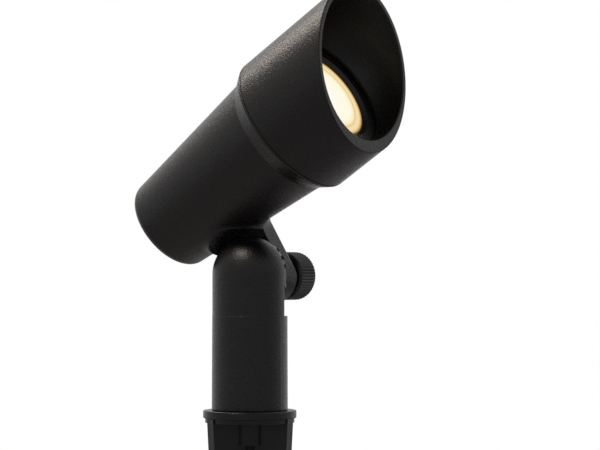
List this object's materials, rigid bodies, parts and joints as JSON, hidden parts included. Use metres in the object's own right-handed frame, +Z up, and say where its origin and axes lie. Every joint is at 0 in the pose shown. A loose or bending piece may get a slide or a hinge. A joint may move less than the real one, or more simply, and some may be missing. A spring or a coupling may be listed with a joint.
{
  "type": "garden spike spotlight",
  "caption": "Low-voltage landscape spotlight: glare-shield hood over a recessed lens, tapered housing on a serrated tilting knuckle, round stem and a finned spike for soil.",
  "frame": {"origin": "on the stem's axis at the underside of the spike's flange, which rests on the soil", "axes": "+Z up along the stem; +X the horizontal direction in which the head points; +Y along the knuckle's axis, towards the thumbscrew"},
  "size_m": [0.1157, 0.0666, 0.3855],
  "materials": {
    "spike_plastic": "black glass-filled nylon, satin grain",
    "coated_aluminium": "cast aluminium, black powder coat, fine texture",
    "brass": "machined, plain",
    "stainless_steel": "plain stainless steel",
    "black_rubber": "soft silicone rubber, matt",
    "knob_plastic": "black moulded plastic, fluted",
    "splice_plastic": "grey moulded nylon",
    "lead_insulation": "black silicone-insulated wire",
    "zinc_plate": "zinc-plated sheet steel",
    "ceramic": "white steatite ceramic, matt",
    "lamp_aluminium": "spun aluminium, satin",
    "lamp_plastic": "white moulded plastic",
    "circuit_board": "white solder mask with yellow emitters",
    "clear_optic": "clear moulded lens, warm light behind it",
    "lens_glass": "clear tempered glass"
  },
  "bodies": {
    "stake": {"ground_stake": "spike_plastic", "swivel_bolt": "brass", "friction_washer": "spike_plastic", "cable_grommet": "black_rubber"},
    "stem": {"stem": "coated_aluminium", "base_plug": "spike_plastic", "base_seal": "black_rubber", "thread_insert": "brass", "splice_caps": "splice_plastic", "stem_leads": "lead_insulation"},
    "head": {"housing": "coated_aluminium", "wire_bush": "black_rubber", "socket_bracket": "zinc_plate", "bracket_screws": "stainless_steel", "lamp_socket": "ceramic", "socket_contacts": "brass", "head_leads": "lead_insulation", "lamp_base": "lamp_plastic", "lamp_pins": "stainless_steel", "lamp_shell": "lamp_aluminium", "lamp_board": "circuit_board", "lamp_optic": "clear_optic"},
    "lens_frame": {"lens_frame": "coated_aluminium", "frame_oring": "black_rubber", "lens_glass": "lens_glass", "lens_gasket": "black_rubber", "lens_ring": "lamp_aluminium", "hood_clip": "stainless_steel"},
    "hood": {"hood": "coated_aluminium"},
    "thumb_washer": {"thumb_washer": "stainless_steel"},
    "thumbscrew": {"knob": "knob_plastic", "knob_screw": "stainless_steel"}
  },
  "joints": [
    {"name": "stem_swivel", "type": "hinge", "parent": "stake", "child": "stem", "pos_m": [0, 0, 0.0036], "axis": [0, 0, 1], "range_deg": [-180, 180]},
    {"name": "head_tilt", "type": "hinge", "parent": "stem", "child": "head", "pos_m": [0, 0, 0.06], "axis": [0, -1, 0], "range_deg": [-77, 58]},
    {"name": "lens_frame_pull", "type": "slide", "parent": "head", "child": "lens_frame", "axis": [0.848, 0, 0.5299], "range_m": [0, 0.014]},
    {"name": "hood_turn", "type": "hinge", "parent": "lens_frame", "child": "hood", "pos_m": [0.03382, 0, 0.13042], "axis": [0.848, 0, 0.5299], "continuous": true},
    {"name": "thumbscrew_travel", "type": "slide", "parent": "head", "child": "thumb_washer", "axis": [0, 1, 0], "range_m": [0, 0.002]},
    {"name": "thumbscrew_turn", "type": "hinge", "parent": "thumb_washer", "child": "thumbscrew", "pos_m": [0, 0.0189, 0.06], "axis": [0, 1, 0], "range_deg": [0, 720]}
  ],
  "couplings": [
    {"joint": "thumbscrew_turn", "follows": "thumbscrew_travel", "rad_per_m": 6283.2}
  ]
}
